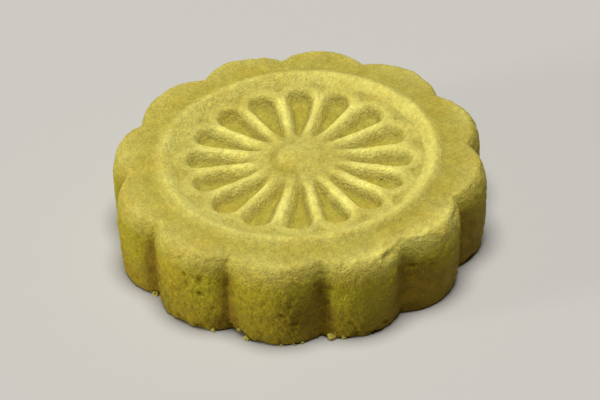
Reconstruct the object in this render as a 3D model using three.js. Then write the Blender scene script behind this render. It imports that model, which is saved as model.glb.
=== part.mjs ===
// A small pressed mooncake: a fluted round of pale paste with a wheel of petals on its top.
// One piece, solid all through. Millimetres, +Z up, origin at the centre of the flat underside.

import * as THREE from 'three';

// ---- Driving dimensions, mm and degrees ----

// The fluted side
const ACROSS = 50.4;           // across two opposite flutes, at the widest level
const EDGE_REACH = 1.4;        // how far in the rounded upper edge reaches
const EDGE_RISE = 3.2;         // and how far down
const WORN_RISE = 0.8;         // how much farther down it reaches where it has crumbled
const FOOT_ROUND = 0.45;       // small round at the lower edge
const TAPER = 0.026;           // share by which the foot is narrower than the widest level
const FLUTE_ROUND = 8.1;       // radius of one flute's round face
const OVAL = 0.018;            // share by which the plan is drawn out along OVAL_TURN
const OVAL_TURN = 54;
// The sharp notches between the flutes stand a little unevenly round the cake.
const NOTCH_TURNS = [6, 36, 67, 95.5, 124, 156.5, 186, 216, 246, 276, 305, 336];

// The top, from the shoulder inwards
const SHOULDER_HEIGHT = 12.4;  // at the foot of the raised ring
const SHOULDER_FALL = 0.1;     // how much lower it is where the edge begins
const RING_RADIUS = 18.2;      // crest of the raised ring
const RING_HEIGHT = 13.0;
const RING_INNER = 1.6;        // width of its slope towards the middle
const RING_OUTER = 1.7;        // and of the slope down to the shoulder
const FIELD_HEIGHT = 12.25;    // tops of the ribs, inside the ring
const HUB_SWELL = 0.35;        // the middle is that much higher
const HUB_SWELL_RADIUS = 9;
const PETALS = 16;
const RIB_TURN = 10.2;         // the first rib's direction
const RIB_HALF = 0.42;         // half a rib's width
const RIB_UNEVEN = 0.14;       // how much that half width varies
const RIB_GRAIN = 7;
const PETAL_REACH = 13.2;      // centre of the round outer end of a petal
const PETAL_DEPTH = 1.5;       // how far a petal's floor is pressed in
const RIB_BROW = 0.2;          // the rib's slope begins this far outside the petal's line
const PETAL_BANK = 1.35;       // and reaches the floor this far inside it
const PETAL_RIM = 0.95;        // ridge round the outer end of a petal
const PIT_BANK = 0.7;          // slope from that ridge down into a pit
const PIT_DEPTH = 0.5;         // three-cornered pits between two petals and the ring
const PIT_FADE = 0.6;          // they begin to fade this far inside the ring's slope
const PIT_CLIMB = 0.3;         // and run out this far up it
const HUB_RADIUS = 3.8;        // the ribs run together inside this
const FLOOR_RADIUS = 7.5;      // the petals reach their full depth here
const BOSS_RADIUS = 2.7;
const BOSS_RISE = 0.38;
const GROOVE_RADIUS = 3.1;     // ring-shaped groove round the boss
const GROOVE_HALF = 0.9;
const GROOVE_DEPTH = 0.32;
const GROOVE_TURN = 232;       // where the groove is deepest
const GROOVE_LEAST = 0.25;     // its share of that depth on the far side

// Unevenness of hand-pressed paste, read from a lattice of numbers. A pressed line's drift
// is read at one level of the lattice for each direction, and a rib's width at another.
const LATTICE_STEPS = [127.1, 311.7, 74.7];
const LATTICE_STRETCH = 43758.5453;
const DRIFT_X_LEVEL = 11;
const DRIFT_Y_LEVEL = 47;
const RIB_LEVEL = 83;
const WANDER = 0.22;           // sideways drift of the pressed lines
const WANDER_GRAIN = 5.5;
const LUMP = 0.09;             // height of the soft lumps all over
const LUMP_GRAIN = 3.2;
const CRUMBLE = 0.38;          // height of the lumps where the upper edge crumbled
const CRUMBLE_GRAIN = 2.2;
const CRUMBLE_LOSS = 0.35;     // share of that height lost on average
const CRUMBLE_DOWN = 4.6;      // how far down the side it reaches
const CRUMBLE_TURN = 312;      // middle of that stretch of edge
const CRUMBLE_CORE = 14;       // as crumbled as that out to here, to either side
const CRUMBLE_SPREAD = 34;     // and whole again from here
// Bits broken from the foot: direction, reach along the edge, depth
const CHIPS = [
  { turn: 248.5, reach: 1.5, depth: 0.9 },
  { turn: 257, reach: 0.9, depth: 0.35 },
  { turn: 231, reach: 1.1, depth: 0.4 },
];

// ---- Fineness of the faces ----
const ROUND = 192;             // steps round the cake
const FIRST_NOTCH_STEP = 3;    // the step that lies in the first notch
const CORE_RINGS = [0.95, 1.85, 2.7, 3.4, 4.2];
const HALF_RING = 5.3;
const FIELD_RINGS = [6.6, 8.2, 9.8, 11.4, 12.8, 13.9, 14.8, 15.5, 16.1, 16.7, 17.4, 18.2, 19.1];
const SHOULDER_STEPS = [0, 0.5, 1];
const EDGE_STEPS = 6;
const SIDE_LEVELS = [6.6, 4.2, 2, FOOT_ROUND];

const RADIUS = ACROSS / 2;
const EDGE_TOP = SHOULDER_HEIGHT - SHOULDER_FALL;
const RIM_HEIGHT = EDGE_TOP - EDGE_RISE;  // the widest level, where the side rounds over
const STEP_RADIUS = RING_RADIUS + RING_OUTER;
const TURN = 2 * Math.PI;
const QUARTER = Math.PI / 2;
const FLUTES = NOTCH_TURNS.length;
const STEPS_PER_FLUTE = ROUND / FLUTES;
const radians = THREE.MathUtils.degToRad;
const smooth = (from, to, value) => THREE.MathUtils.smoothstep(value, from, to);
const mix = THREE.MathUtils.lerp;

// ---- Unevenness ----

// The lattice's number at a corner, between -1 and 1.
function corner(i, j, k) {
  const [alongX, alongY, alongZ] = LATTICE_STEPS;
  const wave = Math.sin(i * alongX + j * alongY + k * alongZ) * LATTICE_STRETCH;
  return 2 * (wave - Math.floor(wave)) - 1;
}

// Smooth noise between the corners, which are `grain` mm apart.
function unevenness(x, y, z, grain) {
  const cell = [x, y, z].map((value) => Math.floor(value / grain));
  const part = [x, y, z].map((value, axis) => smooth(0, 1, value / grain - cell[axis]));
  const [i, j, k] = cell;
  const row = (dj, dk) => mix(corner(i, j + dj, k + dk), corner(i + 1, j + dj, k + dk), part[0]);
  const sheet = (dk) => mix(row(0, dk), row(1, dk), part[1]);
  return mix(sheet(0), sheet(1), part[2]);
}

// Angle between two directions, in degrees, from 0 to 180.
function apart(turn, other) {
  return Math.abs(THREE.MathUtils.euclideanModulo(turn - other + 180, 360) - 180);
}

// ---- The outline in plan ----

// Direction, in degrees, of a place counted in flutes: whole numbers are notches.
function fluteTurn(place) {
  const flute = Math.floor(place);
  const from = NOTCH_TURNS[THREE.MathUtils.euclideanModulo(flute, FLUTES)];
  const to = NOTCH_TURNS[THREE.MathUtils.euclideanModulo(flute + 1, FLUTES)];
  const width = THREE.MathUtils.euclideanModulo(to - from, 360);
  return from + width * (place - flute);
}

// Radius of the fluted outline at a place counted in flutes: a round of FLUTE_ROUND set
// so that its crown is RADIUS from the middle.
function fluteRadius(place) {
  const off = (place - Math.floor(place) - 0.5) * (TURN / FLUTES);
  const centre = RADIUS - FLUTE_ROUND;
  return centre * Math.cos(off) + Math.sqrt(FLUTE_ROUND ** 2 - (centre * Math.sin(off)) ** 2);
}

function ovalScale(angle) {
  return 1 + OVAL * Math.cos(2 * (angle - radians(OVAL_TURN)));
}

// ---- The pressed top ----

// How far, in mm, a point is inside a petal's outline: a wedge between two ribs with a
// round outer end. It is negative outside, on the ribs and beyond the end.
function petalInside(radius, angle, ribHalf) {
  const half = Math.PI / PETALS;
  const fromRib = THREE.MathUtils.euclideanModulo(angle - radians(RIB_TURN), 2 * half);
  const off = Math.abs(fromRib - half);
  const along = radius * Math.cos(off) - PETAL_REACH;
  const aside = radius * Math.sin(off);
  const pastEnd = along * Math.cos(half) + aside * Math.sin(half);
  if (pastEnd > 0) {
    return PETAL_REACH * Math.sin(half) - Math.hypot(along, aside) - ribHalf;
  }
  return radius * Math.sin(half - off) - ribHalf;
}

function petalRelief(radius, angle, ribHalf) {
  const inside = petalInside(radius, angle, ribHalf);
  const depth = PETAL_DEPTH * smooth(HUB_RADIUS, FLOOR_RADIUS, radius);
  const floor = depth * smooth(-RIB_BROW, PETAL_BANK, inside);
  const beyond = smooth(PETAL_RIM, PETAL_RIM + PIT_BANK, -inside);
  const ringFoot = RING_RADIUS - RING_INNER;
  const withinRing = 1 - smooth(ringFoot - PIT_FADE, ringFoot + PIT_CLIMB, radius);
  return -floor - PIT_DEPTH * beyond * withinRing;
}

function bossRelief(radius, angle) {
  const dome = BOSS_RISE * (1 - Math.min(1, radius / BOSS_RADIUS) ** 2);
  const share = mix(GROOVE_LEAST, 1, 0.5 + 0.5 * Math.cos(angle - radians(GROOVE_TURN)));
  const groove = GROOVE_DEPTH * (1 - smooth(0, GROOVE_HALF, Math.abs(radius - GROOVE_RADIUS)));
  return dome - share * groove;
}

// Height of the plain field, ring and shoulder at a radius.
function levelAt(radius) {
  const swell = HUB_SWELL * (1 - smooth(0, HUB_SWELL_RADIUS, radius));
  if (radius < RING_RADIUS) {
    return mix(FIELD_HEIGHT + swell, RING_HEIGHT, smooth(RING_RADIUS - RING_INNER, RING_RADIUS, radius));
  }
  const fall = SHOULDER_FALL * smooth(STEP_RADIUS, RADIUS - EDGE_REACH, radius);
  return mix(RING_HEIGHT, SHOULDER_HEIGHT, smooth(RING_RADIUS, STEP_RADIUS, radius)) - fall;
}

// Height of the pressed top at a point, before the lumps.
function topHeight(x, y) {
  const driftX = x + WANDER * unevenness(x, y, DRIFT_X_LEVEL, WANDER_GRAIN);
  const driftY = y + WANDER * unevenness(x, y, DRIFT_Y_LEVEL, WANDER_GRAIN);
  const angle = Math.atan2(driftY, driftX);
  const radius = Math.hypot(driftX, driftY) / ovalScale(angle);
  const ribHalf = RIB_HALF + RIB_UNEVEN * unevenness(x, y, RIB_LEVEL, RIB_GRAIN);
  return levelAt(radius) + petalRelief(radius, angle, ribHalf) + bossRelief(radius, angle);
}

// How crumbled the upper edge is in a direction, from 0 to 1.
function crumbled(turn) {
  return 1 - smooth(CRUMBLE_CORE, CRUMBLE_SPREAD, apart(turn, CRUMBLE_TURN));
}

// How far the surface stands out at a point, with `share` of the crumbling.
function lumps(x, y, z, share) {
  const soft = LUMP * unevenness(x, y, z, LUMP_GRAIN);
  const rough = CRUMBLE * share * (unevenness(x, y, z, CRUMBLE_GRAIN) - CRUMBLE_LOSS);
  return soft + rough;
}

function chipDepth(turn, height) {
  let depth = 0;
  for (const chip of CHIPS) {
    const aside = radians(apart(turn, chip.turn)) * RADIUS;
    depth += chip.depth * Math.exp(-((Math.hypot(aside, height) / chip.reach) ** 2));
  }
  return depth;
}

// ---- The solid, as rings of points joined by bands of triangles ----

const points = [];
const faces = [];

function addPoint(x, y, z) {
  points.push(x, y, z);
  return points.length / 3 - 1;
}

// A point on the pressed top.
function addTopPoint(angle, radius, crumbling) {
  const reach = radius * ovalScale(angle);
  const x = reach * Math.cos(angle);
  const y = reach * Math.sin(angle);
  const height = topHeight(x, y);
  return addPoint(x, y, height + lumps(x, y, height, crumbling));
}

// A ring of points on the pressed top, at one radius.
function topRing(radius, count) {
  const ring = [];
  for (let i = 0; i < count; i += 1) {
    ring.push(addTopPoint((TURN * i) / count, radius, 0));
  }
  return ring;
}

// Each step round the cake keeps its index from the top to the foot, and drifts from an
// even spacing on the top to one that has a step exactly in every notch.

function sidePlace(step) {
  return (step - FIRST_NOTCH_STEP) / STEPS_PER_FLUTE;
}

function sideAngle(step, share) {
  const even = (360 * step) / ROUND;
  const place = sidePlace(step);
  const fluted = fluteTurn(place) + 360 * Math.floor(place / FLUTES);
  return radians(mix(even, fluted, share));
}

// A ring between the foot of the raised ring (share 0) and the start of the edge (share 1).
function shoulderRing(share) {
  const ring = [];
  for (let step = 0; step < ROUND; step += 1) {
    const angle = sideAngle(step, share);
    const edge = fluteRadius(sidePlace(step)) - EDGE_REACH;
    const crumbling = crumbled(THREE.MathUtils.radToDeg(angle)) * share;
    ring.push(addTopPoint(angle, mix(STEP_RADIUS, edge, share), crumbling));
  }
  return ring;
}

// A ring round the side, `inset` mm inside the fluted outline. `level` is its height where
// nothing has crumbled, and `around` its angle over the rounded edge, which is 0 at the top.
function sideRing(inset, level, around = QUARTER) {
  const ring = [];
  const narrowing = 1 - TAPER * (1 - level / RIM_HEIGHT) ** 2;
  for (let step = 0; step < ROUND; step += 1) {
    const angle = sideAngle(step, 1);
    const turn = THREE.MathUtils.radToDeg(angle);
    const rise = EDGE_RISE + WORN_RISE * crumbled(turn);
    const height = (level * (EDGE_TOP - rise)) / RIM_HEIGHT + rise * Math.cos(around);
    const plain = (fluteRadius(sidePlace(step)) - inset) * narrowing * ovalScale(angle);
    const x = plain * Math.cos(angle);
    const y = plain * Math.sin(angle);
    const nearEdge = smooth(EDGE_TOP - CRUMBLE_DOWN, EDGE_TOP, height);
    const uneven = lumps(x, y, height, crumbled(turn) * nearEdge);
    const outward = uneven * Math.sin(around) - chipDepth(turn, height);
    const reach = (plain + outward) / plain;
    ring.push(addPoint(x * reach, y * reach, height + uneven * Math.cos(around)));
  }
  return ring;
}

function distance(a, b) {
  return Math.hypot(points[3 * a] - points[3 * b], points[3 * a + 1] - points[3 * b + 1],
    points[3 * a + 2] - points[3 * b + 2]);
}

// Joins two rings. The outer one has as many points as the inner one, or twice as many.
function joinRings(inner, outer) {
  const count = inner.length;
  const ratio = outer.length / count;
  for (let i = 0; i < count; i += 1) {
    const here = inner[i];
    const next = inner[(i + 1) % count];
    const outHere = outer[ratio * i];
    const outNext = outer[(ratio * (i + 1)) % outer.length];
    if (ratio === 2) {
      const outMiddle = outer[2 * i + 1];
      faces.push(here, outHere, outMiddle, here, outMiddle, next, next, outMiddle, outNext);
    } else if (distance(here, outNext) < distance(outHere, next)) {
      faces.push(here, outHere, outNext, here, outNext, next);
    } else {
      faces.push(here, outHere, next, outHere, outNext, next);
    }
  }
}

function buildMooncake() {
  const rings = CORE_RINGS.map((radius) => topRing(radius, ROUND / 4));
  rings.push(topRing(HALF_RING, ROUND / 2));
  for (const radius of FIELD_RINGS) {
    rings.push(topRing(radius, ROUND));
  }
  for (const share of SHOULDER_STEPS) {
    rings.push(shoulderRing(share));
  }
  for (let i = 1; i <= EDGE_STEPS; i += 1) {
    const around = QUARTER * (i / EDGE_STEPS);
    rings.push(sideRing(EDGE_REACH * (1 - Math.sin(around)), RIM_HEIGHT, around));
  }
  for (const level of SIDE_LEVELS) {
    rings.push(sideRing(0, level));
  }
  rings.push(sideRing(FOOT_ROUND, 0));

  const crown = addPoint(0, 0, topHeight(0, 0));
  const first = rings[0];
  first.forEach((point, i) => faces.push(crown, point, first[(i + 1) % first.length]));
  for (let i = 1; i < rings.length; i += 1) {
    joinRings(rings[i - 1], rings[i]);
  }
  const underside = addPoint(0, 0, 0);
  const last = rings[rings.length - 1];
  last.forEach((point, i) => faces.push(underside, last[(i + 1) % last.length], point));

  const geometry = new THREE.BufferGeometry();
  geometry.setAttribute('position', new THREE.Float32BufferAttribute(points, 3));
  geometry.setIndex(faces);
  geometry.computeVertexNormals();
  return geometry;
}

const paste = new THREE.MeshStandardMaterial({ color: 0xd0c05c, roughness: 0.72, metalness: 0 });
const mooncake = new THREE.Mesh(buildMooncake(), paste);
mooncake.name = 'mooncake';

const part = new THREE.Group();
part.add(mooncake);

export default part;
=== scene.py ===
"""A small pressed mooncake of pale yellow bean paste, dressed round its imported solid.

Sizes are millimetres until a mesh is made, which is in metres. +Z is up, the origin is the
centre of the flat underside, and directions are degrees anticlockwise from +X, seen from above.
"""

import math
from itertools import product

import bmesh
import bpy
import numpy as np
from mathutils import Matrix, Vector


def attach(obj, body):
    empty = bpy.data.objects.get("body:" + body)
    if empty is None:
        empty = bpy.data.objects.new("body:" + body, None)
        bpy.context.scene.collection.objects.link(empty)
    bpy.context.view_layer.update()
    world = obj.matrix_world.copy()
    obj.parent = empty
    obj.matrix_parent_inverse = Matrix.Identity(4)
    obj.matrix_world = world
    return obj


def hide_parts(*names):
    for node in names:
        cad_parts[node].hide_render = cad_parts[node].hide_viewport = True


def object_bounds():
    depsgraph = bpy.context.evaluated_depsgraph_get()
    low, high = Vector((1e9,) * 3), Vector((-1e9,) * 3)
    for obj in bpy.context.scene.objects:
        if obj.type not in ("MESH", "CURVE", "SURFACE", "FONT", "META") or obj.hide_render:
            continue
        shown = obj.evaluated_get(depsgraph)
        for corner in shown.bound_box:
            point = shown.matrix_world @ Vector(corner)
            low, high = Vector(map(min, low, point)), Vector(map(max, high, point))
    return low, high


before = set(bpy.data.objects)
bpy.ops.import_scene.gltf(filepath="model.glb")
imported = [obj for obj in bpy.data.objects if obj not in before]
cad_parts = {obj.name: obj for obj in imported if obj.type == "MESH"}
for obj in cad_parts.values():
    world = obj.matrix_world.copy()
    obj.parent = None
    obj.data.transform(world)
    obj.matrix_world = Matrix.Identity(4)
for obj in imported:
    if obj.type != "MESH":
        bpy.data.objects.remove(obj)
CAD_LOW, CAD_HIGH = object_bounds()

MM = 0.001
QUARTER = math.pi / 2

# ---- The cake's form: the same named sizes as the solid's ----

# The fluted side
RADIUS = 25.2  # to the crown of a flute, at the widest level
EDGE_REACH = 1.4  # how far in the rounded upper edge reaches
EDGE_RISE = 3.2  # and how far down
WORN_RISE = 0.8  # how much farther down it reaches where it has crumbled
FOOT_ROUND = 0.45  # small round at the lower edge
TAPER = 0.026  # share by which the foot is narrower than the widest level
FLUTE_ROUND = 8.1  # radius of one flute's round face
OVAL = 0.018  # share by which the plan is drawn out along OVAL_TURN
OVAL_TURN = 54
# The sharp notches between the flutes stand a little unevenly round the cake.
NOTCH_TURNS = [6, 36, 67, 95.5, 124, 156.5, 186, 216, 246, 276, 305, 336]
FLUTES = len(NOTCH_TURNS)

# The top, from the shoulder inwards
SHOULDER_HEIGHT = 12.4  # at the foot of the raised ring
SHOULDER_FALL = 0.1  # how much lower it is where the edge begins
EDGE_TOP = SHOULDER_HEIGHT - SHOULDER_FALL
RIM_HEIGHT = EDGE_TOP - EDGE_RISE  # the widest level, where the side rounds over
RING_RADIUS = 18.2  # crest of the raised ring
RING_HEIGHT = 13.0
RING_INNER = 1.6  # width of its slope towards the middle
RING_OUTER = 1.7  # and of the slope down to the shoulder
STEP_RADIUS = RING_RADIUS + RING_OUTER
FIELD_HEIGHT = 12.25  # tops of the ribs, inside the ring
HUB_SWELL = 0.35  # the middle is that much higher
HUB_SWELL_RADIUS = 9
PETALS = 16
RIB_TURN = 10.2  # the first rib's direction
RIB_HALF = 0.42  # half a rib's width
RIB_UNEVEN = 0.14  # how much that half width varies
RIB_GRAIN = 7
PETAL_REACH = 13.2  # centre of the round outer end of a petal
PETAL_DEPTH = 1.5  # how far a petal's floor is pressed in
RIB_BROW = 0.2  # the rib's slope begins this far outside the petal's line
PETAL_BANK = 1.35  # and reaches the floor this far inside it
PETAL_RIM = 0.95  # ridge round the outer end of a petal
PIT_BANK = 0.7  # slope from that ridge down into a pit
PIT_DEPTH = 0.5  # three-cornered pits between two petals and the ring
PIT_FADE = 0.6  # they begin to fade this far inside the ring's slope
PIT_CLIMB = 0.3  # and run out this far up it
HUB_RADIUS = 3.8  # the ribs run together inside this
FLOOR_RADIUS = 7.5  # the petals reach their full depth here
BOSS_RADIUS = 2.7
BOSS_RISE = 0.38
GROOVE_RADIUS = 3.1  # ring-shaped groove round the boss
GROOVE_HALF = 0.9
GROOVE_DEPTH = 0.32
GROOVE_TURN = 232  # where the groove is deepest
GROOVE_LEAST = 0.25  # its share of that depth on the far side

# Unevenness of hand-pressed paste, read from a lattice of numbers. A pressed line's drift
# is read at one level of the lattice for each direction, and a rib's width at another.
LATTICE_STEPS = (127.1, 311.7, 74.7)
LATTICE_STRETCH = 43758.5453
DRIFT_X_LEVEL = 11
DRIFT_Y_LEVEL = 47
RIB_LEVEL = 83
WANDER = 0.22  # sideways drift of the pressed lines
WANDER_GRAIN = 5.5
LUMP = 0.09  # height of the soft lumps all over
LUMP_GRAIN = 3.2
CRUMBLE = 0.38  # height of the lumps where the upper edge crumbled
CRUMBLE_GRAIN = 2.2
CRUMBLE_LOSS = 0.35  # share of that height lost on average
CRUMBLE_DOWN = 4.6  # how far down the side it reaches
CRUMBLE_TURN = 312  # middle of that stretch of edge
CRUMBLE_CORE = 14  # as crumbled as that out to here, to either side
CRUMBLE_SPREAD = 34  # and whole again from here
# Bits broken from the foot: direction, reach along the edge, depth
CHIPS = [(248.5, 1.5, 0.9), (257, 0.9, 0.35), (231, 1.1, 0.4)]

# ---- Painted shading: 1 for a painted highlight on the narrow crests, 0 on the shoulder, -1 for painted shade in the recesses ----

# Radius on the top, and the painted shading there before the recesses' painted shade is taken off:
# painted highlight on the ribs, the ring's crest and the upper edge, painted shade in the groove
# round the boss and at the ring's outer foot
PAINTED_SHADING_BY_RADIUS = [
    (0, 0.25),
    (2.6, 0.35),
    (3.4, 0.1),  # in the groove round the boss
    (5.5, 0.3),
    (7.5, 1),  # from here the ribs stand clear
    (13, 1),
    (14.6, 0.3),  # and here they have widened, between the round ends of the petals
    (16.6, 0.3),
    (17.7, 0.6),  # just inside the crest of the ring
    (18.4, 0.4),
    (19.8, -0.4),  # at the outer foot of the ring
    (20.6, -0.4),
    (22.5, 0),
    (24, 0.3),  # at the upper edge
]
RECESS_PAINTED_SHADE = 1.7  # how far the painted shade deepens over the depth of a petal
RECESS_BEND = 1.4  # above 1, more of that fall is near the bottom
END_FADE = 0.4  # how much weaker it is at a petal's outer end
END_FADE_FROM = PETAL_REACH - 1.2
END_FADE_TO = PETAL_REACH + 1.3
HUB_PAINTED_SHADE = (239, 3.3, 1.5, 0.7)  # painted shade by the boss: direction, radius, reach, strength
BROKEN_PALENESS_AND_HIGHLIGHT = 0.55  # how much paler the edge is painted where it has crumbled: partly paler broken paste, partly a painted highlight
NOTCH_SHADE = 0.11  # share of a flute over which painted shade deepens into a notch
FOOT_SHADE = 0.75  # how much painted shade the side gets towards the foot
# Painted shade on the side, or painted light where negative: direction, height, reach, strength
PAINTED_SHADE_AND_LIGHT_SPOTS = [
    (217, 6, 2, 0.45),
    (207, 6, 2, -0.3),
    (243, 5.5, 3, -0.5),
    (269.5, 5, 2.3, 0.7),
    (280, 7, 1.6, -0.6),
    (310, 4.5, 5, 0.9),
    (339, 5, 5, 0.7),
]

# ---- Fineness of the mesh ----

ROUND = 672  # steps round the side: a multiple of the flutes and of the ribs
STEPS_PER_FLUTE = ROUND / FLUTES
FIRST_NOTCH_STEP = 11  # the step that lies in the first notch
CORE_STEP = 0.25  # between the rings in the middle of the top
FIELD_STEP = 0.235  # and farther out
# Rings of the top: out to what radius, a point at every how many steps, how far apart
TOP_ZONES = [
    (2.5, 8, CORE_STEP),
    (5, 4, CORE_STEP),
    (10, 2, CORE_STEP),
    (STEP_RADIUS, 1, FIELD_STEP),
]
EDGE_STEPS = 18  # over the rounded upper edge
SIDE_STEP = 0.24
FOOT_STEPS = 3  # over the round at the foot
# Rings of the underside: share of the foot's radius, a point at every how many steps
UNDERSIDE = [(0.985, 1), (0.95, 1), (0.88, 2), (0.76, 2), (0.6, 4), (0.42, 4), (0.24, 8), (0.1, 8)]

# ---- The crumb of the paste: how much is missing from the smooth form ----

# Seeds, one in each cell of a grid, are the middles of grains and of small holes.
SEED_STRAY = 0.45  # most that it is off the cell's middle along an axis, as a share of the cell
SEED_LEVELS = (0.37, 0.61, 0.83)  # added to the lattice's level for its place along each axis
NUMBER_LEVEL = 0.19  # and for its number

# Gaps between the grains
GRAIN = 0.9
FINE_GRAIN = 0.55
FINE_SHARE = 0.35  # the fine grains' share of the loss
GRAIN_EDGE = (0.25, 0.85)  # a grain rounds off between these shares of its size
GRAIN_UNEVEN = 0.25  # how much more or less is missing from one grain than from another
TOP_LOSS = 0.1
SIDE_LOSS = 0.2
PATCH_GRAIN = 4.3  # size of the patches that are rougher or smoother
PATCH_LEVEL = 0.75  # share of the loss that a middling patch has
PATCH_UNEVEN = 0.5  # and how much more or less another has
ROUGH_TURN = 224  # the roughest stretch of the side
ROUGH_SPREAD = 48
ROUGH_CORE = 0.3  # share of that spread that is as rough as its middle
ROUGH_MORE = 0.6  # how much more is missing there

# Small holes
HOLE_CELL = 1.5
HOLE_SHARE = 0.42  # share of the cells that have one
HOLE_REACH = (0.25, 0.8)
HOLE_FLAT = 0.2  # share of its reach that is at full depth
HOLE_LOSS = 0.27
HOLE_STRAY = 0.35  # how far a hole's outline strays from round
TOP_HOLES = 0.25  # share of their depth that they have on the top

# Bites out of the foot and the upper edge
BITE_GRAIN = 1.9
BITE_NOISE = (0.15, 0.8)  # the noise at which a bite begins, and at which it is full
FOOT_BITE = 0.55
FOOT_BITE_ENDS = (0.2, 1.3)  # full below the first height, and none above the second
EDGE_BITE = 0.45
EDGE_LEAST = 0.35  # share of it where the edge hasn't crumbled
EDGE_DEEP = 2.4  # the edge's bites begin this far below it
EDGE_WHOLE = 0.6  # and are at their full depth from here up
EDGE_SHOULDER = 0.6  # share of the shoulder's width that is free of them
# Below the first height the paste wears only sideways, and above the second square to its surface.
SIDEWAYS = (0.2, 0.8)

# Shifts that keep one use of the noise from repeating another
FINE_SHIFT = 7
BITE_SHIFT = 13
PATCH_SHIFT = 31
STRAY_SHIFTS = (17, 29, 43)

# ---- Crumbs that cling to it ----

CRUMB_SEED = 11
CRUMB_SIZE = (0.16, 0.5)
CRUMB_SUNK = (0.1, 0.6)  # how deep it is in the side, as a share of its size
FOOT_CRUMBS = 10  # all round the foot, and as many again where there are the most
MORE_AT = (255, 18)  # middle and spread of the stretch of foot with the most crumbs
FOOT_LUMPS = [(279, 0.8), (283, 0.5), (249, 0.6), (241, 0.45), (214, 0.6)]  # direction, size
FOOT_CRUMB_RISE = 0.35  # height of its middle, as a share of its size
TOP_CRUMBS = [(342, 11.4, 0.3), (349, 12.6, 0.24), (335, 13.6, 0.28)]  # direction, radius, size
TOP_CRUMB_SUNK = 0.3  # its middle is this share of its size below the surface

# One crumb's form, as shares of its size
CRUMB_BODY = 0.85
CRUMB_KNOBS = [(0.55, 0.95), (0.25, 0.4)]  # height and grain
CRUMB_LIMITS = (0.4, 1.2)
CRUMB_SQUASH = 0.6  # it is squashed to no less than this along any axis
CRUMB_SPIN = 6  # most that it is turned, in radians
CRUMB_SHIFT = 90  # most that its place in the noise of the knobs is shifted along an axis
CRUMB_FINENESS = 3  # subdivisions of the ball that it is made from

# ---- Camera, at the photograph's place, with a longer lens ----

VIEW_TURN = 270
VIEW_DISTANCE = 760
VIEW_ELEVATION = 37.34
VIEW_ROLL = -1.3
VIEW_RANGE = (10, 10000)  # nearest and farthest that it sees
AIM_HEIGHT = 5.2
SENSOR = 36
PHOTO_LENS = 68.34
ZOOM = 5

# ---- Light: turn and elevation in degrees, distance and width across, power in watts ----

KEY = (250, 86, 2500, 1400)
KEY_POWER = 88
FILL = (197, 7, 2500, 600)
FILL_POWER = 44
LIGHT_COLOUR = (1, 0.995, 0.95)
WORLD_COLOUR = (1, 1, 1, 1)
WORLD_STRENGTH = 0.015

# ---- Floor ----

FLOOR_SIZE = 4000
FLOOR_DROP = 0.02  # below the underside, so that the two never share a plane
FLOOR_ROUGHNESS = 0.8

# ---- Colours, linear ----

BODY_COLOUR = (0.395, 0.338, 0.069, 1)
# Painted highlight on the crests and painted shade in the recesses, blended in by the painted
# shading
CREST_HIGHLIGHT_COLOUR = (0.64, 0.58, 0.15, 1)
RECESS_SHADE_COLOUR = (0.318, 0.276, 0.028, 1)
# Painted shade: the walls are darker and more orange than the top
WALL_SHADE_COLOUR = (0.343, 0.288, 0.011, 1)
# Painted shade in the notches between the flutes
NOTCH_SHADE_COLOUR = (0.18, 0.115, 0.002, 1)
GOLDEN_COLOUR = (0.39, 0.262, 0.014, 1)
FLOOR_COLOUR = (0.42, 0.41, 0.395, 1)

# ---- Grain of the paste's colour, shine and bumps ----

NOISE_SPAN = (0.3, 0.7)  # most of a noise lies between these
GOLD_SIZE = 5.5  # of the golden patches
GOLD_SPAN = (0.42, 0.66)  # the noise at which a patch begins, and at which it is full
GOLD_ON_TOP = 0.3  # share of golden in a full patch on the top
GOLD_ON_SIDE = 0.42  # and on the side
CLOUD_SIZE = 1.6
CLOUD_DETAIL = 4
CLOUD_SHADES = (0.9, 1.08)
SPECK_SIZE = 0.42
SPECK_SHADES = (0.88, 1.14)
DUST_SIZE = 0.3
DUST_DETAIL = 2
DUST_SHADES = (0.9, 1.12)
SHINE_SIZE = 0.8
ROUGHNESS = (0.6, 0.85)
BEAD_SIZE = 0.34
BEAD_SPAN = (0.1, 0.75)  # a bead falls off between these shares of its size
BEAD_BUMP = 0.1
SAND_SIZE = 0.2
SAND_SHARPNESS = 0.7
SAND_BUMP = 0.12
BUMP_STRENGTH = 0.8
SPECULAR = 0.15
GLOW = 0.3  # share of the light that enters the paste
GLOW_RADIUS = (1.0, 0.72, 0.22)  # how far red, green and blue travel in it, times GLOW_REACH
GLOW_REACH = 0.9

# A Mix node has sockets of the same names for numbers and for colours, so these are numbered.
MIX_FACTOR = 0
MIX_LOW = 6
MIX_HIGH = 7
MIX_RESULT = 2


# ---- Helpers on numbers and arrays ----


def smooth(low, high, value):
    """0 below low, 1 above high, and a smooth step between them."""
    part = np.clip((value - low) / (high - low), 0, 1)
    return part * part * (3 - 2 * part)


def mix(a, b, share):
    return a + (b - a) * share


def corner(i, j, k):
    """The lattice's number at a corner, between -1 and 1."""
    along_x, along_y, along_z = LATTICE_STEPS
    wave = np.sin(i * along_x + j * along_y + k * along_z) * LATTICE_STRETCH
    return 2 * (wave - np.floor(wave)) - 1


def unevenness(x, y, z, grain):
    """Smooth noise between the lattice's corners, grain mm apart: the same as the solid's."""
    cell = [np.floor(v / grain) for v in (x, y, z)]
    part = [smooth(0, 1, v / grain - c) for v, c in zip((x, y, z), cell)]
    i, j, k = cell

    def row(dj, dk):
        return mix(corner(i, j + dj, k + dk), corner(i + 1, j + dj, k + dk), part[0])

    def sheet(dk):
        return mix(row(0, dk), row(1, dk), part[1])

    return mix(sheet(0), sheet(1), part[2])


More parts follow.
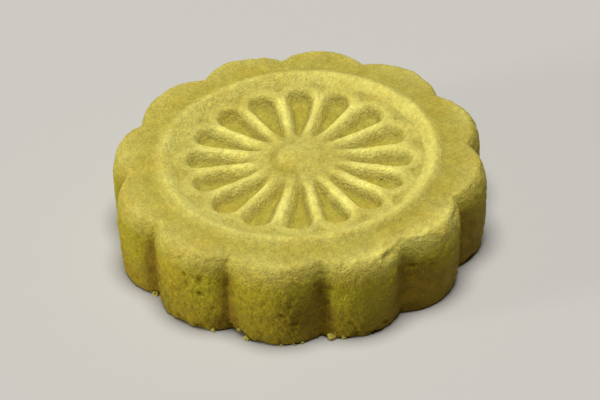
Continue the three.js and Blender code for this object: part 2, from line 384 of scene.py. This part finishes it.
def nearest_seed(points, size):
    """Distance to the nearest seed, one being in each cell of that size, and that seed's number."""
    cell = np.floor(points / size)
    nearest = np.full(len(points), np.inf)
    number = np.zeros(len(points))
    for step in product((-1, 0, 1), repeat=3):
        i, j, k = (cell + step).T
        shift = np.stack([corner(i, j, k + level) for level in SEED_LEVELS], 1)
        away = np.linalg.norm((cell + step + 0.5 + SEED_STRAY * shift) * size - points, axis=1)
        closer = away < nearest
        nearest = np.where(closer, away, nearest)
        number = np.where(closer, corner(i, j, k + NUMBER_LEVEL), number)
    return nearest, number


def apart(turn, other):
    """Angle between two directions, in degrees, from 0 to 180."""
    return np.abs((turn - other + 180) % 360 - 180)


def polar(turn, radius):
    """x and y of a point in a direction, that far from the middle."""
    angle = math.radians(turn)
    return radius * math.cos(angle), radius * math.sin(angle)


def steps(low, high, size):
    """Values from just past low up to high, about size apart."""
    count = max(1, round((high - low) / size))
    return low + (high - low) * np.arange(1, count + 1) / count


# ---- The outline in plan ----


def flute_turn(place):
    """Direction of a place counted in flutes: whole numbers are notches."""
    flute = np.floor(place).astype(int)
    notches = np.array(NOTCH_TURNS, float)
    start = notches[flute % FLUTES]
    width = (notches[(flute + 1) % FLUTES] - start) % 360
    laps = 360 * np.floor(place / FLUTES)
    return start + width * (place - flute) + laps


def flute_radius(place):
    """Radius of the fluted outline at such a place, with a flute's crown at RADIUS."""
    off = (place - np.floor(place) - 0.5) * (2 * math.pi / FLUTES)
    centre = RADIUS - FLUTE_ROUND
    return centre * np.cos(off) + np.sqrt(FLUTE_ROUND**2 - (centre * np.sin(off)) ** 2)


def oval_scale(angle):
    return 1 + OVAL * np.cos(2 * (angle - math.radians(OVAL_TURN)))


# ---- The pressed top ----


def petal_inside(radius, angle, rib_half):
    """How far a point is inside a petal: a wedge between two ribs, with a round outer end."""
    half = math.pi / PETALS
    from_rib = (angle - math.radians(RIB_TURN)) % (2 * half)
    off = np.abs(from_rib - half)
    along = radius * np.cos(off) - PETAL_REACH
    aside = radius * np.sin(off)
    past_end = along * math.cos(half) + aside * math.sin(half)
    round_end = PETAL_REACH * math.sin(half) - np.hypot(along, aside)
    wedge = radius * np.sin(half - off)
    return np.where(past_end > 0, round_end, wedge) - rib_half


def petal_relief(radius, angle, rib_half):
    """What the petals, and the pits beyond their ends, add to the height."""
    inside = petal_inside(radius, angle, rib_half)
    depth = PETAL_DEPTH * smooth(HUB_RADIUS, FLOOR_RADIUS, radius)
    floor = depth * smooth(-RIB_BROW, PETAL_BANK, inside)
    beyond = smooth(PETAL_RIM, PETAL_RIM + PIT_BANK, -inside)
    ring_foot = RING_RADIUS - RING_INNER
    within_ring = 1 - smooth(ring_foot - PIT_FADE, ring_foot + PIT_CLIMB, radius)
    return -floor - PIT_DEPTH * beyond * within_ring


def boss_relief(radius, angle):
    """What the boss and the groove round it add to the height."""
    dome = BOSS_RISE * (1 - np.minimum(1, radius / BOSS_RADIUS) ** 2)
    share = mix(GROOVE_LEAST, 1, 0.5 + 0.5 * np.cos(angle - math.radians(GROOVE_TURN)))
    groove = GROOVE_DEPTH * (1 - smooth(0, GROOVE_HALF, np.abs(radius - GROOVE_RADIUS)))
    return dome - share * groove


def level_at(radius):
    """Height of the plain field, ring and shoulder."""
    swell = HUB_SWELL * (1 - smooth(0, HUB_SWELL_RADIUS, radius))
    inner = smooth(RING_RADIUS - RING_INNER, RING_RADIUS, radius)
    outer = smooth(RING_RADIUS, STEP_RADIUS, radius)
    fall = SHOULDER_FALL * smooth(STEP_RADIUS, RADIUS - EDGE_REACH, radius)
    field = mix(FIELD_HEIGHT + swell, RING_HEIGHT, inner)
    shoulder = mix(RING_HEIGHT, SHOULDER_HEIGHT, outer) - fall
    return np.where(radius < RING_RADIUS, field, shoulder)


# Painted shade by the boss, in a soft round spot
def hub_painted_shade(x, y):
    turn, radius, reach, strength = HUB_PAINTED_SHADE
    stain_x, stain_y = polar(turn, radius)
    away = np.hypot(x - stain_x, y - stain_y)
    return strength * np.exp(-((away / reach) ** 2))


def top_surface(x, y):
    """Height of the pressed top before the lumps, and its painted shading."""
    drift_x = x + WANDER * unevenness(x, y, DRIFT_X_LEVEL, WANDER_GRAIN)
    drift_y = y + WANDER * unevenness(x, y, DRIFT_Y_LEVEL, WANDER_GRAIN)
    angle = np.arctan2(drift_y, drift_x)
    radius = np.hypot(drift_x, drift_y) / oval_scale(angle)
    rib_half = RIB_HALF + RIB_UNEVEN * unevenness(x, y, RIB_LEVEL, RIB_GRAIN)
    relief = petal_relief(radius, angle, rib_half) + boss_relief(radius, angle)
    stops, levels = zip(*PAINTED_SHADING_BY_RADIUS)
    painted_shading = np.interp(radius, stops, levels)
    # Painted shade in the recesses, deeper where they are deeper and weaker at a petal's outer end
    sunk = np.clip(-relief / PETAL_DEPTH, 0, 1)
    fall = RECESS_PAINTED_SHADE * (1 - END_FADE * smooth(END_FADE_FROM, END_FADE_TO, radius))
    painted_shading = np.maximum(painted_shading - fall * sunk**RECESS_BEND, -1) - hub_painted_shade(x, y)
    return level_at(radius) + relief, painted_shading


# ---- Wear of the side and its edge ----


def crumbled(turn):
    """How crumbled the upper edge is in a direction, from 0 to 1."""
    return 1 - smooth(CRUMBLE_CORE, CRUMBLE_SPREAD, apart(turn, CRUMBLE_TURN))


def lumps(x, y, z, share):
    """How far the surface stands out at a point, with that share of the crumbling."""
    soft = LUMP * unevenness(x, y, z, LUMP_GRAIN)
    rough = CRUMBLE * share * (unevenness(x, y, z, CRUMBLE_GRAIN) - CRUMBLE_LOSS)
    return soft + rough


def spots(turn, height, places):
    """The sum of soft round spots on the side: direction, height, reach and strength of each."""
    total = 0
    for spot_turn, level, reach, strength in places:
        aside = np.radians(apart(turn, spot_turn)) * RADIUS
        total = total + strength * np.exp(-((np.hypot(aside, height - level) / reach) ** 2))
    return total


def chip_depth(turn, height):
    return spots(turn, height, [(at, 0, reach, deep) for at, reach, deep in CHIPS])


# ---- Rings of points, from the middle of the top to the middle of the underside ----
# Each point is x, y, z, its painted shading, how far it is on the side, and how near the edge.


def on_top(angle, radius, crumbling, edge=0):
    reach = radius * oval_scale(angle)
    x, y = reach * np.cos(angle), reach * np.sin(angle)
    height, painted_shading = top_surface(x, y)
    z = height + lumps(x, y, height, crumbling)
    # Where the edge has crumbled it is painted paler: partly paler broken paste, partly a painted
    # highlight.
    painted_shading = painted_shading + BROKEN_PALENESS_AND_HIGHLIGHT * crumbling
    return np.stack([x, y, z, painted_shading, 0 * x, edge + 0 * x], 1)


def top_ring(radius, count):
    return on_top(2 * math.pi * np.arange(count) / count, radius, 0)


# Each step round the cake keeps its number from the top to the foot, and drifts from an
# even spacing on the top to one that has a step exactly in every notch.


def side_place(step):
    """The place of a step, counted in flutes."""
    return (step - FIRST_NOTCH_STEP) / STEPS_PER_FLUTE


def side_angle(step, share):
    """Direction of a step in radians, with that share of the drift made."""
    return np.radians(mix(360 * step / ROUND, flute_turn(side_place(step)), share))


def shoulder_ring(share):
    """A ring between the foot of the raised ring, at share 0, and the edge, at share 1."""
    step = np.arange(ROUND)
    angle = side_angle(step, share)
    reach = flute_radius(side_place(step)) - EDGE_REACH
    crumbling = crumbled(np.degrees(angle)) * share
    edge = smooth(EDGE_SHOULDER, 1, share)
    return on_top(angle, mix(STEP_RADIUS, reach, share), crumbling, edge)


def side_ring(inset, level, around=QUARTER):
    """A ring of the side, inset from the fluted outline.

    Its level is its height where nothing has crumbled, and around is its angle over the
    rounded edge, which is 0 at the top.
    """
    step = np.arange(ROUND)
    angle = side_angle(step, 1)
    place = side_place(step)
    turn = np.degrees(angle)
    rise = EDGE_RISE + WORN_RISE * crumbled(turn)
    height = level * (EDGE_TOP - rise) / RIM_HEIGHT + rise * math.cos(around)
    narrowing = 1 - TAPER * (1 - level / RIM_HEIGHT) ** 2
    plain = (flute_radius(place) - inset) * narrowing * oval_scale(angle)
    x, y = plain * np.cos(angle), plain * np.sin(angle)
    near_edge = smooth(EDGE_TOP - CRUMBLE_DOWN, EDGE_TOP, height)
    uneven = lumps(x, y, height, crumbled(turn) * near_edge)
    reach = (plain + uneven * math.sin(around) - chip_depth(turn, height)) / plain
    z = height + uneven * math.cos(around)
    # How far the point is on the side, squared so that the walls' painted shade comes in slowly
    # over the rounded edge and the upper wall stays painted lighter
    side = (around / QUARTER) ** 2
    # Painted shade deepens into each notch.
    from_notch = 0.5 - np.abs(place - np.floor(place) - 0.5)
    # Painted shade on the wall: into the notches, towards the foot, and in round spots that are
    # painted light where negative
    painted_shade = np.exp(-((from_notch / NOTCH_SHADE) ** 2)) + FOOT_SHADE * (1 - level / RIM_HEIGHT)
    painted_shade += spots(turn, height, PAINTED_SHADE_AND_LIGHT_SPOTS)
    # The crumbled upper edge is painted paler: partly paler broken paste, partly a painted
    # highlight.
    painted_shading = BROKEN_PALENESS_AND_HIGHLIGHT * crumbled(turn) * near_edge - side * painted_shade
    edge = smooth(EDGE_TOP - EDGE_DEEP, EDGE_TOP - EDGE_WHOLE, height)
    return np.stack([x * reach, y * reach, z, painted_shading, side + 0 * x, edge], 1)


def cake_rings():
    """The rings from the middle of the top to the foot."""
    rings = []
    start = 0
    for end, every, spacing in TOP_ZONES:
        rings += [top_ring(radius, ROUND // every) for radius in steps(start, end, spacing)]
        start = end
    shoulder_width = RADIUS - EDGE_REACH - STEP_RADIUS
    rings += [shoulder_ring(share) for share in steps(0, 1, FIELD_STEP / shoulder_width)]
    for around in steps(0, QUARTER, QUARTER / EDGE_STEPS):
        inset = EDGE_REACH * (1 - math.sin(around))
        rings.append(side_ring(inset, RIM_HEIGHT, around))
    for drop in steps(0, RIM_HEIGHT - FOOT_ROUND, SIDE_STEP):
        rings.append(side_ring(0, RIM_HEIGHT - drop))
    for around in steps(0, QUARTER, QUARTER / FOOT_STEPS):
        inset = FOOT_ROUND * (1 - math.cos(around))
        rings.append(side_ring(inset, FOOT_ROUND * (1 - math.sin(around))))
    return rings


def underside_rings(foot):
    """The flat underside, from the foot inwards, with fewer points towards the middle."""
    return [foot[::every] * [share, share, 0, 0, 0, 0] for share, every in UNDERSIDE]


def join_rings(rings):
    """The number of each ring's first point, and the faces between the rings.

    Each ring has as many points as the last, or twice or half as many.
    """
    starts = np.cumsum([0] + [len(r) for r in rings])
    faces = []
    for start, end, inner, outer in zip(starts, starts[1:], rings, rings[1:]):
        here, there = len(inner), len(outer)
        count = min(here, there)
        i = np.arange(count)
        near = start + i * (here // count)
        near_next = start + (i + 1) % count * (here // count)
        far = end + i * (there // count)
        far_next = end + (i + 1) % count * (there // count)
        if here == there:
            faces += np.stack([near, far, far_next, near_next], 1).tolist()
        elif there > here:
            middle = far + 1
            faces += np.stack([near, far, middle], 1).tolist()
            faces += np.stack([near, middle, near_next], 1).tolist()
            faces += np.stack([near_next, middle, far_next], 1).tolist()
        else:
            middle = near + 1
            faces += np.stack([near, far, middle], 1).tolist()
            faces += np.stack([far, far_next, middle], 1).tolist()
            faces += np.stack([middle, far_next, near_next], 1).tolist()
    return starts, faces


# ---- What is missing from the smooth form: gaps between grains, holes and small bites ----


def grain_gaps(points, size):
    away, number = nearest_seed(points, size)
    return smooth(*GRAIN_EDGE, away / size) + GRAIN_UNEVEN * number


def holes(points):
    x, y, z = points.T
    stray = np.stack([unevenness(x + shift, y, z, GRAIN) for shift in STRAY_SHIFTS], 1)
    away, number = nearest_seed(points + HOLE_STRAY * stray, HOLE_CELL)
    here = number > 1 - 2 * HOLE_SHARE
    reach = mix(*HOLE_REACH, (number + 1) / 2)
    return HOLE_LOSS * np.where(here, 1 - smooth(HOLE_FLAT * reach, reach, away), 0)


def missing(points, side, edge):
    """How much is missing at each point, in mm."""
    x, y, z = points.T
    turn = np.degrees(np.arctan2(y, x))
    patch = PATCH_LEVEL + PATCH_UNEVEN * unevenness(x + PATCH_SHIFT, y, z, PATCH_GRAIN)
    rough_from = ROUGH_CORE * ROUGH_SPREAD
    roughest = side * (1 - smooth(rough_from, ROUGH_SPREAD, apart(turn, ROUGH_TURN)))
    at_foot = side * (1 - smooth(*FOOT_BITE_ENDS, z))
    at_edge = edge * mix(EDGE_LEAST, 1, crumbled(turn))
    broken = patch * (1 + ROUGH_MORE * roughest)
    gaps = (1 - FINE_SHARE) * grain_gaps(points, GRAIN)
    gaps += FINE_SHARE * grain_gaps(points + FINE_SHIFT, FINE_GRAIN)
    loss = mix(TOP_LOSS, SIDE_LOSS, np.maximum(side, at_edge)) * broken * gaps
    loss += mix(TOP_HOLES, 1, side) * broken * holes(points)
    bite = smooth(*BITE_NOISE, unevenness(x, y + BITE_SHIFT, z, BITE_GRAIN))
    return loss + bite * (FOOT_BITE * at_foot + EDGE_BITE * at_edge)


# ---- Meshes ----


def finish_mesh(name, mesh, material, values=()):
    """Shades the mesh smooth, gives each named list of values to its points, and links it."""
    mesh.polygons.foreach_set("use_smooth", [True] * len(mesh.polygons))
    mesh.materials.append(material)
    for key, numbers in values:
        layer = mesh.attributes.new(key, "FLOAT", "POINT")
        layer.data.foreach_set("value", np.asarray(numbers, np.float32))
    mesh.update()
    piece = bpy.data.objects.new(name, mesh)
    bpy.context.scene.collection.objects.link(piece)
    return piece


def make_cake(material):
    """The whole cake: its smooth form, less what is missing square to the surface."""
    rings = cake_rings()
    rings += underside_rings(rings[-1])
    starts, faces = join_rings(rings)
    # The middle of the top is given a painted highlight.
    top_middle = [0, 0, top_surface(0, 0)[0], 1, 0, 0]
    underside_middle = [0, 0, 0, 0, 0, 0]
    points = np.concatenate([*rings, [top_middle, underside_middle]])
    crown, underside = len(points) - 2, len(points) - 1
    first, last = len(rings[0]), len(rings[-1])
    faces += [[crown, i, (i + 1) % first] for i in range(first)]
    last_start = int(starts[-2])
    faces += [[underside, last_start + (i + 1) % last, last_start + i] for i in range(last)]

    mesh = bpy.data.meshes.new("mooncake_paste")
    mesh.from_pydata(points[:, :3].tolist(), [], faces)
    mesh.update()
    normals = np.empty(len(points) * 3)
    mesh.vertices.foreach_get("normal", normals)
    normals = normals.reshape(-1, 3)
    where = points[:, :3]
    painted_shading, side, edge = points[:, 3:].T
    loss = missing(where, side, edge)
    # The foot wears only sideways and the underside not at all, so that it stays flat.
    near_foot = 1 - smooth(*SIDEWAYS, where[:, 2])
    normals[:, 2] *= 1 - near_foot
    loss *= mix(1, side, near_foot)
    worn = where - normals * loss[:, None]
    mesh.vertices.foreach_set("co", (worn * MM).ravel())
    return finish_mesh("mooncake_paste", mesh, material, [("painted_shading", painted_shading), ("side", side)])


def crumb_places(random):
    """The middle and size of each crumb: along the foot, inside the solid's box, and on the top."""
    places = []
    low, high = np.array(CAD_LOW) / MM, np.array(CAD_HIGH) / MM
    turns = [*random.uniform(0, 360, FOOT_CRUMBS), *random.normal(*MORE_AT, FOOT_CRUMBS)]
    sizes = random.uniform(*CRUMB_SIZE, len(turns))
    for turn, size in [*zip(turns, sizes), *FOOT_LUMPS]:
        place = np.interp(turn % 360, NOTCH_TURNS, range(FLUTES))
        reach = flute_radius(place) * (1 - TAPER) * oval_scale(math.radians(turn))
        reach -= chip_depth(turn, 0) + random.uniform(*CRUMB_SUNK) * size
        x, y = polar(turn, reach)
        fits = np.all((low[:2] + size < (x, y)) & ((x, y) < high[:2] - size))
        if fits:
            places.append((x, y, FOOT_CRUMB_RISE * size, size))
    for turn, radius, size in TOP_CRUMBS:
        x, y = polar(turn, radius)
        height = top_surface(x, y)[0]
        places.append((x, y, height - TOP_CRUMB_SUNK * size, size))
    return np.array(places)


def make_crumbs(material):
    """All the crumbs in one mesh: each a ball pushed out of shape, flat where it meets z = 0."""
    ball = bmesh.new()
    bmesh.ops.create_icosphere(ball, subdivisions=CRUMB_FINENESS, radius=1)
    form = np.array([vertex.co for vertex in ball.verts])
    faces = np.array([[vertex.index for vertex in face.verts] for face in ball.faces])
    ball.free()
    random = np.random.default_rng(CRUMB_SEED)
    points, corners = [], []
    for number, (x, y, z, size) in enumerate(crumb_places(random)):
        shift = form + random.uniform(0, CRUMB_SHIFT, 3)
        reach = CRUMB_BODY
        for height, grain in CRUMB_KNOBS:
            reach = reach + height * unevenness(*shift.T, grain)
        spin = Matrix.Rotation(random.uniform(0, CRUMB_SPIN), 3, Vector((1, 1, 1)))
        squash = random.uniform(CRUMB_SQUASH, 1, 3)
        shaped = form @ np.array(spin) * np.clip(reach, *CRUMB_LIMITS)[:, None] * squash * size
        shaped += (x, y, z)
        shaped[:, 2] = np.maximum(shaped[:, 2], 0)
        points.append(shaped)
        corners.append(faces + number * len(form))
    mesh = bpy.data.meshes.new("crumbs")
    mesh.from_pydata((np.concatenate(points) * MM).tolist(), [], np.concatenate(corners).tolist())
    return finish_mesh("crumbs", mesh, material)


# ---- Shader nodes ----


def node(tree, kind, links=(), **settings):
    """A node with its settings made, and (output, input name or number) pairs joined to it."""
    made = tree.nodes.new(kind)
    inputs = settings.pop("inputs", {})
    for key, value in settings.items():
        setattr(made, key, value)
    for key, value in inputs.items():
        made.inputs[key].default_value = value
    for output, key in links:
        tree.links.new(output, made.inputs[key])
    return made


def blended(tree, factor, low, high, kind="MIX"):
    """A colour mix: each of the three may be a value or another node's output."""
    made = node(tree, "ShaderNodeMix", data_type="RGBA", blend_type=kind)
    for number, value in ((MIX_FACTOR, factor), (MIX_LOW, low), (MIX_HIGH, high)):
        if isinstance(value, bpy.types.NodeSocket):
            tree.links.new(value, made.inputs[number])
        else:
            made.inputs[number].default_value = value
    return made.outputs[MIX_RESULT]


def ranged(tree, value, from_low, from_high, to_low, to_high):
    """The value moved from one range to another, whose top may be another node's output."""
    inputs = {"From Min": from_low, "From Max": from_high, "To Min": to_low}
    links = [(value, "Value")]
    if isinstance(to_high, bpy.types.NodeSocket):
        links.append((to_high, "To Max"))
    else:
        inputs["To Max"] = to_high
    return node(tree, "ShaderNodeMapRange", links, inputs=inputs).outputs["Result"]


def noise(tree, place, size, detail=3, sharpness=0.55):
    inputs = {"Scale": 1 / (size * MM), "Detail": detail, "Roughness": sharpness}
    return node(tree, "ShaderNodeTexNoise", [(place, "Vector")], inputs=inputs).outputs[0]


def cells(tree, place, size):
    inputs = {"Scale": 1 / (size * MM)}
    return node(tree, "ShaderNodeTexVoronoi", [(place, "Vector")], inputs=inputs)


def bumped(tree, height, distance, links=()):
    """A normal tilted by a height, on top of another normal where the links give one."""
    inputs = {"Strength": BUMP_STRENGTH, "Distance": distance * MM}
    made = node(tree, "ShaderNodeBump", [(height, "Height"), *links], inputs=inputs)
    return made.outputs["Normal"]


# ---- The paste's material ----


def paste_colour(tree, place):
    """Colour by the painted shading and side of the points: painted highlights on the crests and
    painted shade in the recesses, in the notches and on the walls, with golden patches and a grain.
    """
    painted_shading = node(tree, "ShaderNodeAttribute", attribute_name="painted_shading").outputs["Fac"]
    side = node(tree, "ShaderNodeAttribute", attribute_name="side").outputs["Fac"]
    # Painted shade in the recesses and notches, and painted highlight on the crests
    recess_shade = ranged(tree, painted_shading, -1, 0, 1, 0)
    crest_highlight = ranged(tree, painted_shading, 0, 1, 0, 1)
    top = blended(tree, recess_shade, BODY_COLOUR, RECESS_SHADE_COLOUR)
    top = blended(tree, crest_highlight, top, CREST_HIGHLIGHT_COLOUR)
    # The walls in painted shade, deepening into painted shade in the notches
    shaded_wall = blended(tree, recess_shade, WALL_SHADE_COLOUR, NOTCH_SHADE_COLOUR)
    colour = blended(tree, side, top, shaded_wall)

    strength = ranged(tree, side, 0, 1, GOLD_ON_TOP, GOLD_ON_SIDE)
    patches = ranged(tree, noise(tree, place, GOLD_SIZE), *GOLD_SPAN, 0, strength)
    colour = blended(tree, patches, colour, GOLDEN_COLOUR)
    clouds = noise(tree, place, CLOUD_SIZE, CLOUD_DETAIL)
    specks = cells(tree, place, SPECK_SIZE).outputs["Color"]
    dust = noise(tree, place, DUST_SIZE, DUST_DETAIL)
    shades = [
        ranged(tree, clouds, *NOISE_SPAN, *CLOUD_SHADES),
        ranged(tree, specks, 0, 1, *SPECK_SHADES),
        ranged(tree, dust, *NOISE_SPAN, *DUST_SHADES),
    ]
    for shade in shades:
        colour = blended(tree, 1.0, colour, shade, "MULTIPLY")
    return colour


def paste_normal(tree, place):
    """Beads, and finer sand on top of them."""
    beads = cells(tree, place, BEAD_SIZE).outputs["Distance"]
    beaded = bumped(tree, ranged(tree, beads, *BEAD_SPAN, 1, 0), BEAD_BUMP)
    sand = noise(tree, place, SAND_SIZE, sharpness=SAND_SHARPNESS)
    return bumped(tree, sand, SAND_BUMP, [(beaded, "Normal")])


def paste_material():
    material = bpy.data.materials.new("bean_paste")
    material.use_nodes = True
    tree = material.node_tree
    shader = tree.nodes["Principled BSDF"]
    place = node(tree, "ShaderNodeTexCoord").outputs["Object"]
    rough = ranged(tree, noise(tree, place, SHINE_SIZE), *NOISE_SPAN, *ROUGHNESS)
    tree.links.new(paste_colour(tree, place), shader.inputs["Base Color"])
    tree.links.new(rough, shader.inputs["Roughness"])
    tree.links.new(paste_normal(tree, place), shader.inputs["Normal"])
    shader.inputs["Specular IOR Level"].default_value = SPECULAR
    shader.inputs["Subsurface Weight"].default_value = GLOW
    shader.inputs["Subsurface Radius"].default_value = GLOW_RADIUS
    shader.inputs["Subsurface Scale"].default_value = GLOW_REACH * MM
    return material


# ---- Floor, lights, camera ----


def make_floor():
    bpy.ops.mesh.primitive_plane_add(size=FLOOR_SIZE * MM, location=(0, 0, -FLOOR_DROP * MM))
    floor = bpy.context.object
    floor.name = "floor"
    material = bpy.data.materials.new("floor")
    material.use_nodes = True
    shader = material.node_tree.nodes["Principled BSDF"]
    shader.inputs["Base Color"].default_value = FLOOR_COLOUR
    shader.inputs["Roughness"].default_value = FLOOR_ROUGHNESS
    floor.data.materials.append(material)


def direction(turn, elevation):
    """A vector of length 1 towards a turn and elevation in degrees."""
    t, e = math.radians(turn), math.radians(elevation)
    return Vector((math.cos(t) * math.cos(e), math.sin(t) * math.cos(e), math.sin(e)))


def area_light(name, placing, power):
    """A round light that faces the cake."""
    turn, elevation, distance, across = placing
    data = bpy.data.lights.new(name, "AREA")
    data.shape = "DISK"
    data.size = across * MM
    data.energy = power
    data.color = LIGHT_COLOUR
    light = bpy.data.objects.new(name, data)
    light.location = direction(turn, elevation) * distance * MM
    light.rotation_mode = "QUATERNION"
    light.rotation_quaternion = direction(turn, elevation).to_track_quat("Z", "Y")
    bpy.context.scene.collection.objects.link(light)


def make_lights():
    area_light("key", KEY, KEY_POWER)
    area_light("fill", FILL, FILL_POWER)
    world = bpy.data.worlds.new("studio")
    world.use_nodes = True
    background = world.node_tree.nodes["Background"]
    background.inputs["Color"].default_value = WORLD_COLOUR
    background.inputs["Strength"].default_value = WORLD_STRENGTH
    bpy.context.scene.world = world


def make_camera():
    data = bpy.data.cameras.new("camera")
    data.sensor_width = SENSOR
    data.lens = PHOTO_LENS * ZOOM
    nearest, farthest = VIEW_RANGE
    data.clip_start = nearest * MM
    data.clip_end = farthest * MM
    camera = bpy.data.objects.new("camera", data)
    place = direction(VIEW_TURN, VIEW_ELEVATION) * (VIEW_DISTANCE * MM)
    aim = Vector((0, 0, AIM_HEIGHT * MM))
    camera.location = place
    camera.rotation_mode = "QUATERNION"
    look = (aim - place).to_track_quat("-Z", "Y")
    roll = Matrix.Rotation(math.radians(VIEW_ROLL), 3, "Z").to_quaternion()
    camera.rotation_quaternion = look @ roll
    bpy.context.scene.collection.objects.link(camera)
    bpy.context.scene.camera = camera


# ---- The scene ----

make_camera()
make_lights()
make_floor()
bpy.context.scene.view_settings.view_transform = "Standard"

paste = paste_material()
cake = make_cake(paste)
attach(cake, "root")
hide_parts("mooncake")
crumbs = make_crumbs(paste)
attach(crumbs, "root")
